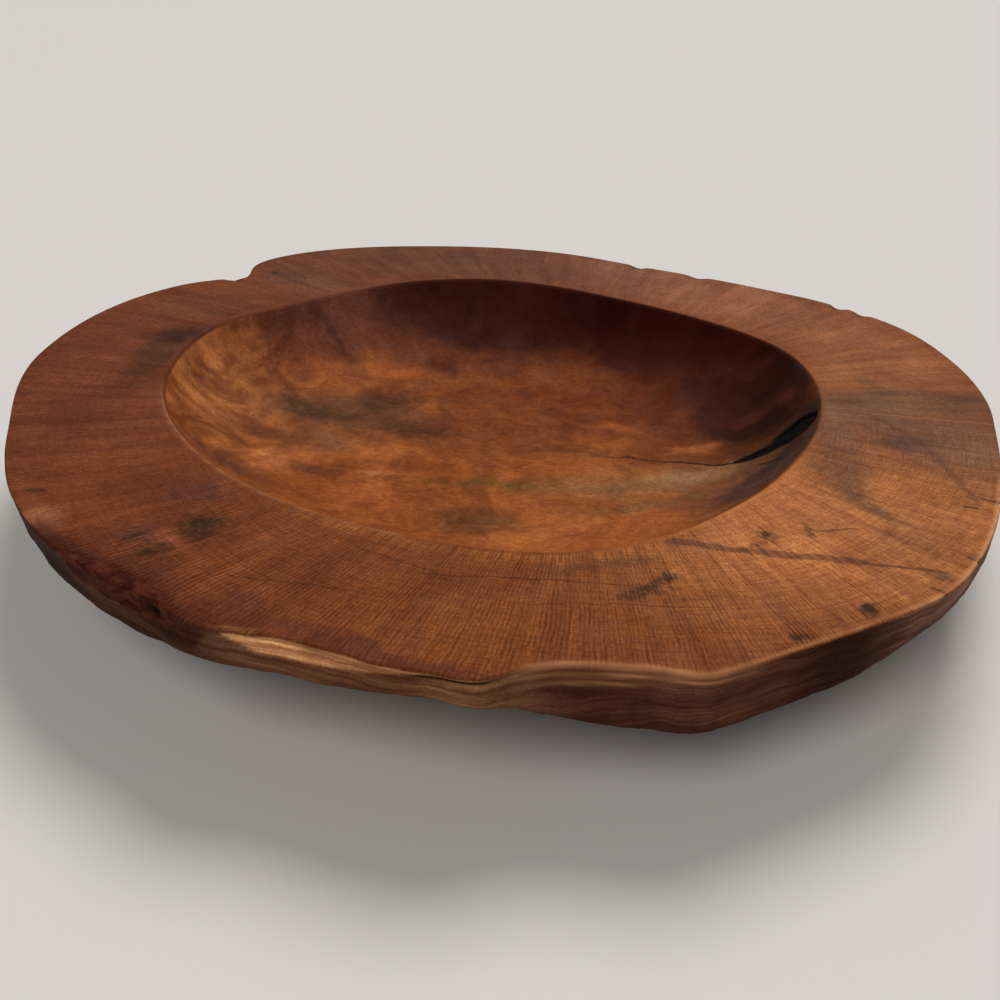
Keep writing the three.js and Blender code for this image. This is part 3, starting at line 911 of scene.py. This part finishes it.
heartwood = {
    "comb": {"lines": 120, "stray": 6, "dark": 0.36, "pale": 0.14},  # fine even rays: how many in a radian
    "rays": {  # patterns along the rays: noise cells in a radian, length, detail
        "dashes": (200, 12, 1),  # darker rays
        "pores": (420, 2.4, 1),  # short crisp fibres
        "bundles": (45, 20, 2),  # where the dark rays gather
        "broadRays": (30, 55, 2),
        "rings": (13, 0.75, 2),  # arcs round the pith
        "ticks": (125, 40, 2),  # short lines at the front lip
    },
    "sideRays": {"layers": (7, 0.9, 3), "lamellae": (4, 3.2, 2)},  # the same, about level round the side
    "noises": {  # stretch of each axis, size, and where given detail, roughness, distortion
        "strays": ((1, 1, 1), 15, 2),
        "sway": ((1, 1, 1), 16, 3),
        "waver": ((1, 1, 1), 9, 3),
        "gloss": ((1, 1, 1), 14, 3),
        "speck": ((1, 1, 1), 1 / 2.2, 1, 0.6),
        "cloud": ((1, 1, 1), 26, 4, 0.55),
        "mottle": ((1, 1, 1), 2.6, 3, 0.6, 0.6),
        "streaks": ((0.9, 0.9, 1.2), 9, 5, 0.6, 1.3),
        "fibres": ((0.6, 0.9, 1), 1.3, 3, 0.6, 0.3),
        "blotches": ((0.9, 0.9, 1), 22, 3, 0.55, 1.2),
        "folds": ((1, 0.8, 0.9), 21, 2, 0.5, 2),
    },
    "wander": 6,  # how far rays and rings stray, and over what length
    "wanderLength": 95,
    "swayReach": 5,
    "waverReach": 4,
    "figure": [  # layers from below: where it shows, pattern, darkest and lightest share
        ("floor", "streaks", 0.82, 1.18), ("hollow", "fibres", 0.86, 1.14),
        ("hollow", "blotches", 0.78, 1.18), ("curl", "folds", 0.66, 1.36), ("rim", "cloud", 0.84, 1.14),
        ("rim", "pores", 0.8, 1.2), ("rim", "broadRays", 0.84, 1.14), ("ringed", "rings", 0.84, 1.14),
    ],
    "weathering": [
        ("side", "layers", 0.72, 1.24), ("side", "lamellae", 0.68, 1.28), ("side", "cloud", 0.68, 1.28),
        ("all", "speck", 0.84, 1.16),
    ],
    "darkRay": (70, 27, 10),
    "paleRay": (190, 112, 58),
    "dashStrength": 0.3,
    "tickStrength": 0.5,
    "stain": (44, 31, 16),
    "stainStrength": 0.85,
    "knot": (40, 28, 16),
    "knotStrength": 0.5,
    "worn": (212, 147, 101),
    "recessShade": (10, 5, 3),
    "lines": {  # where they show, their colour, and each one's start, end, half width and strength
        "healed": ("rim", (160, 104, 56), [((130, -17), (182, -22.6), 0.7, 0.5)]),
        "cracks": ("feathered", (74, 42, 34), [
            ((50, -114.5), (74, -118.6), 2.1, 0.75), ((71, -118), (107, -121.5), 2.6, 0.75),
            ((103, -121.2), (126.5, -124.9), 1, 0.75),
        ]),
        "ringCracks": ("rim", (62, 26, 12), [
            ((-66, -143), (-44, -145), 0.4, 0.55), ((-46, -144.6), (-29, -148.5), 0.4, 0.55),
            ((-37, -125), (-10, -138), 0.4, 0.55), ((-20, -137.4), (43, -138), 0.45, 0.55),
            ((9, -148.8), (60, -146.2), 0.3, 0.55), ((95, -105.2), (107, -102.6), 0.7, 0.55),
        ]),
        "shadedLines": ("rim", (78, 46, 30), [
            ((137, -20), (148, -44), 1.6, 0.38), ((147.5, -43), (150, -84.5), 2, 0.38),
        ]),
        "edgeSlits": ("top", (24, 10, 6), [
            ((152.5, -80.4), (158, -81), 0.7, 0.9), ((145, -85.4), (148.5, -86.6), 0.6, 0.9),
            ((135.2, -115.6), (139.7, -117.6), 0.45, 0.9), ((119, -131.8), (123.6, -135.6), 0.5, 0.9),
        ]),
        "hairline": ("hollow", (30, 14, 8), [
            ((92, -17), (69, -7.2), 0.9, 0.9), ((72, -8.2), (50, -2.6), 0.8, 0.75),
            ((54, -3.2), (36, -2.4), 0.9, 0.45),
        ]),
        "slit": ("hollow", (14, 7, 5), [((96.5, -27), (103, -35), 0.7, 0.9)]),
    },
    "roughness": 0.6,
    "specular": {"bowl": 0.05, "knot": 0.05, "bark": 0.02},
}


def woodMaterial(name, kind):
    h = heartwood
    material, tree, shader = newMaterial(name)
    where = millimetres(tree)
    fromPith = aim(tree, "SUBTRACT", where, (*trunk["pith"], 0))
    stray = grain(tree, where, 1 / h["wanderLength"], 0.0, output="Color")
    stray = grow(tree, aim(tree, "SUBTRACT", stray, (0.5, 0.5, 0.5)), 2 * h["wander"])
    spread = aim(tree, "MULTIPLY", aim(tree, "ADD", fromPith, stray), (1, 1, 0))
    radius = reach(tree, spread)
    way = aim(tree, "NORMALIZE", spread)
    upright = add(tree, "ShaderNodeSeparateXYZ", {0: where}).outputs["Z"]

    def rays(cells, length, detail, drift=radius):  # noise with so many cells in a radian, each so long
        along = add(tree, "ShaderNodeCombineXYZ", {"Z": times(tree, drift, 1 / length)}).outputs[0]
        return grain(tree, aim(tree, "ADD", grow(tree, way, cells), along), 1.0, detail)

    def swing(noise, size):  # noise about 0
        return times(tree, minus(tree, noise, 0.5), size)

    n = {key: rays(*each) for key, each in h["rays"].items()}
    for key, (stretch, size, *rest) in h["noises"].items():
        n[key] = grain(tree, aim(tree, "MULTIPLY", where, stretch), 1 / size, *rest)
    level = plus(tree, upright, times(tree, n["sway"], h["swayReach"]))
    for key, each in h["sideRays"].items():
        n[key] = rays(*each, level)
    parts = add(tree, "ShaderNodeSeparateXYZ", {0: way})
    bearing = calc(tree, "ARCTAN2", parts.outputs["Y"], parts.outputs["X"])
    turns = times(tree, bearing, float(round(2 * math.pi * h["comb"]["lines"])))
    comb = calc(tree, "SINE", plus(tree, turns, times(tree, n["strays"], 2 * h["comb"]["stray"])))

    side, inHollow, rayed = (painted(tree, each) for each in ("side", "hollow", "rays"))
    onTop = minus(tree, 1.0, side)
    onRim = times(tree, onTop, ease(tree, inHollow, 0.0, 0.6, 1.0, 0.0))
    masks = {
        "all": 1.0, "side": side, "top": onTop, "rim": onRim, "hollow": inHollow,
        "floor": painted(tree, "floor"), "curl": painted(tree, "curl"),
        "ringed": times(tree, onRim, ease(tree, rayed, 0.3, 1.0, 0.45, 1.0)),
        "feathered": times(tree, onRim, ease(tree, n["dashes"], 0.36, 0.58, 0.72, 1.0)),
    }

    def shade(colour, layers):  # darkens green and blue a little more than red
        for mask, pattern, dark, light in layers:
            powers = (1.0, 1.25, 1.3)
            redder = [ease(tree, n[pattern], 0.3, 0.7, dark ** power, light ** power) for power in powers]
            tint = add(tree, "ShaderNodeCombineColor", dict(enumerate(redder))).outputs[0]
            colour = layer(tree, masks[mask], colour, tint, "MULTIPLY")
        return colour

    def stain(colour, share, strength, shown):
        return layer(tree, times(tree, share, strength), colour, solid(shown))

    colour = shade(painted(tree, "tone", "Color"), h["figure"])
    gathered = times(tree, ease(tree, n["bundles"], 0.36, 0.6, 0.35, 1.0), rayed)
    broken = times(tree, ease(tree, n["dashes"], 0.4, 0.56, 0.2, 1.0), gathered)
    thin = times(tree, ease(tree, comb, 0.1, 0.95), broken)
    between = times(tree, ease(tree, comb, -0.4, -0.95), gathered)
    heavy = times(tree, ease(tree, n["dashes"], 0.54, 0.66), gathered)
    ticked = times(tree, ease(tree, n["ticks"], 0.52, 0.6), painted(tree, "ticks"))
    colour = stain(colour, thin, h["comb"]["dark"], h["darkRay"])
    colour = stain(colour, between, h["comb"]["pale"], h["paleRay"])
    colour = stain(colour, heavy, h["dashStrength"], h["darkRay"])
    colour = stain(colour, ticked, h["tickStrength"], h["darkRay"])
    colour = shade(colour, h["weathering"])
    waver = swing(n["waver"], h["waverReach"])
    for mask, shown, lines in h["lines"].values():
        for start, end, half, strength in lines:
            drawn = times(tree, thinLine(tree, where, start, end, half, waver), masks[mask])
            colour = stain(colour, drawn, strength, shown)

    feather = plus(tree, swing(n["mottle"], 1.4), swing(n["dashes"], 0.6))
    tatter = plus(tree, feather, swing(n["speck"], 0.5))
    stained = ease(tree, plus(tree, painted(tree, "mark"), tatter), 0.25, 0.95)
    colour = stain(colour, stained, h["stainStrength"], h["stain"])
    if kind == "knot":
        heart = ease(tree, plus(tree, painted(tree, "core"), tatter), 0.2, 0.8)
        colour = stain(colour, heart, h["knotStrength"], h["knot"])
    if kind == "bark":
        colour = barkOver(tree, where, colour, tatter)
    # Pale lines: wear, and painted highlights on the lip and the front edge
    worn = times(tree, painted(tree, "wearAndHighlights"), ease(tree, n["cloud"], 0.35, 0.65, 0.6, 0.95))
    colour = layer(tree, worn, colour, solid(h["worn"]))
    # Painted shade, near black, in the undercut, the nicks and the check
    colour = layer(tree, painted(tree, "dark"), colour, solid(h["recessShade"]))

    roughness = ease(tree, n["gloss"], 0.3, 0.7, h["roughness"] - 0.07, h["roughness"] + 0.1)
    matt = plus(tree, times(tree, inHollow, 0.12), times(tree, side, 0.3))
    roughness = plus(tree, roughness, matt)
    raised = minus(tree, n["speck"], times(tree, n["dashes"], rayed))
    raised = minus(tree, raised, times(tree, n["layers"], side))
    bump = add(tree, "ShaderNodeBump", {"Strength": 0.25, "Distance": 0.0002, "Height": raised}).outputs[0]
    tree.links.new(colour, shader.inputs["Base Color"])
    tree.links.new(roughness, shader.inputs["Roughness"])
    tree.links.new(bump, shader.inputs["Normal"])
    shader.inputs["Specular IOR Level"].default_value = h["specular"][kind]
    return material


# Edge bark over the wood: dark red-brown with a ragged border, and painted shade, near black, in its pit

edgeBarkFinish = {"dark": (52, 19, 12), "light": (86, 40, 26), "pit": (6, 4, 3)}


def barkOver(tree, where, wood, tatter):
    f = edgeBarkFinish
    ridges = grain(tree, aim(tree, "MULTIPLY", where, (1, 1, 2)), 1 / 4, 4, 0.6, 0.8)
    bark = layer(tree, ease(tree, ridges, 0.38, 0.66), solid(f["dark"]), solid(f["light"]))
    uneven = plus(tree, tatter, minus(tree, ridges, 0.5))
    ragged = plus(tree, painted(tree, "core"), uneven)
    colour = layer(tree, ease(tree, ragged, 0.15, 0.6), wood, bark)
    return layer(tree, painted(tree, "pit"), colour, solid(f["pit"]))


# Bark in the check: nearly black and dry

checkBarkFinish = {"dark": (8, 5, 4), "light": (26, 16, 11)}


def checkBarkMaterial():
    f = checkBarkFinish
    material, tree, shader = newMaterial("check bark")
    where = millimetres(tree)
    flakes = grain(tree, where, 1 / 2.5, 5, 0.65)
    colour = layer(tree, ease(tree, flakes, 0.45, 0.75), solid(f["dark"]), solid(f["light"]))
    bump = add(tree, "ShaderNodeBump", {"Strength": 0.7, "Distance": 0.0008, "Height": flakes}).outputs[0]
    tree.links.new(colour, shader.inputs["Base Color"])
    tree.links.new(ease(tree, flakes, 0.3, 0.7, 0.7, 0.95), shader.inputs["Roughness"])
    tree.links.new(bump, shader.inputs["Normal"])
    shader.inputs["Specular IOR Level"].default_value = 0.05
    return material


# Making of the pieces

bowl = buildBody()
bowl.data.materials.append(woodMaterial("heartwood", "bowl"))
print("bowl wood:", len(bowl.data.polygons), "faces")

buildEdgeBark().data.materials.append(woodMaterial("edge bark", "bark"))
buildCheckBark().data.materials.append(checkBarkMaterial())
print("bark pieces made")

knotWood = woodMaterial("knot wood", "knot")
for seed, node in enumerate(knots["each"], 60):
    buildKnot(node, seed).data.materials.append(knotWood)
print("knots:", len(knots["each"]))


# Floor, light and camera

studio = {
    "floorRadius": 14,  # metres
    "floorColour": (214, 209, 204),
    "world": 0.13,
    "lamps": {  # azimuth, elevation and spread in degrees, and share of the floor's light
        "key": (75, 53, 28, 0.55),
        "fill": (246, 48, 36, 0.32),
    },
}
camera = {  # fitted to the photograph: place above the foot in millimetres, angles in degrees
    "place": (3.15, -362.06, 192.69),
    "down": 29.07,
    "roll": 2.77,
    "view": 52,
}


def buildFloor():  # flat disc about the foot
    turn = np.linspace(0, 360, 96, endpoint=False)
    ring = polar(np.full_like(turn, studio["floorRadius"]), turn, 0.0)
    mesh = bpy.data.meshes.new("floor")
    mesh.from_pydata(ring, [], [list(range(len(turn)))])
    floor = bpy.data.objects.new("floor", mesh)
    bpy.context.scene.collection.objects.link(floor)
    material, tree, shader = newMaterial("pale floor")
    shader.inputs["Base Color"].default_value = solid(studio["floorColour"])
    shader.inputs["Roughness"].default_value = 0.9
    shader.inputs["Specular IOR Level"].default_value = 0.1
    mesh.materials.append(material)


def buildLight():
    scene = bpy.context.scene
    world = bpy.data.worlds.new("studio")
    world.use_nodes = True
    world.node_tree.nodes["Background"].inputs["Color"].default_value = (1, 1, 1, 1)
    world.node_tree.nodes["Background"].inputs["Strength"].default_value = studio["world"]
    scene.world = world
    for name, (azimuth, elevation, spread, share) in studio["lamps"].items():
        up = math.radians(elevation)
        lamp = bpy.data.lights.new(name, "SUN")
        lamp.angle = math.radians(spread)
        lamp.energy = share * math.pi / math.sin(up)
        light = bpy.data.objects.new(name, lamp)
        light.rotation_euler = (math.pi / 2 - up, 0, math.radians(azimuth + 90))
        scene.collection.objects.link(light)


def buildCamera():
    down, roll = math.radians(camera["down"]), math.radians(camera["roll"])
    right = np.array([1, 0, 0])
    up = np.array([0, math.sin(down), math.cos(down)])
    forward = np.array([0, math.cos(down), -math.sin(down)])
    x = math.cos(roll) * right + math.sin(roll) * up
    y = math.cos(roll) * up - math.sin(roll) * right
    data = bpy.data.cameras.new("photo view")
    data.angle = math.radians(camera["view"])
    data.clip_start = 0.01
    eye = bpy.data.objects.new("photo view", data)
    turned = np.eye(4)
    turned[:3, :3] = np.stack([x, y, -forward], 1)
    turned[:3, 3] = np.array(camera["place"]) * millimetre
    eye.matrix_world = Matrix(turned.tolist())
    bpy.context.scene.collection.objects.link(eye)
    bpy.context.scene.camera = eye


buildFloor()
buildLight()
buildCamera()
bpy.context.scene.view_settings.view_transform = "Standard"
print("stage made")
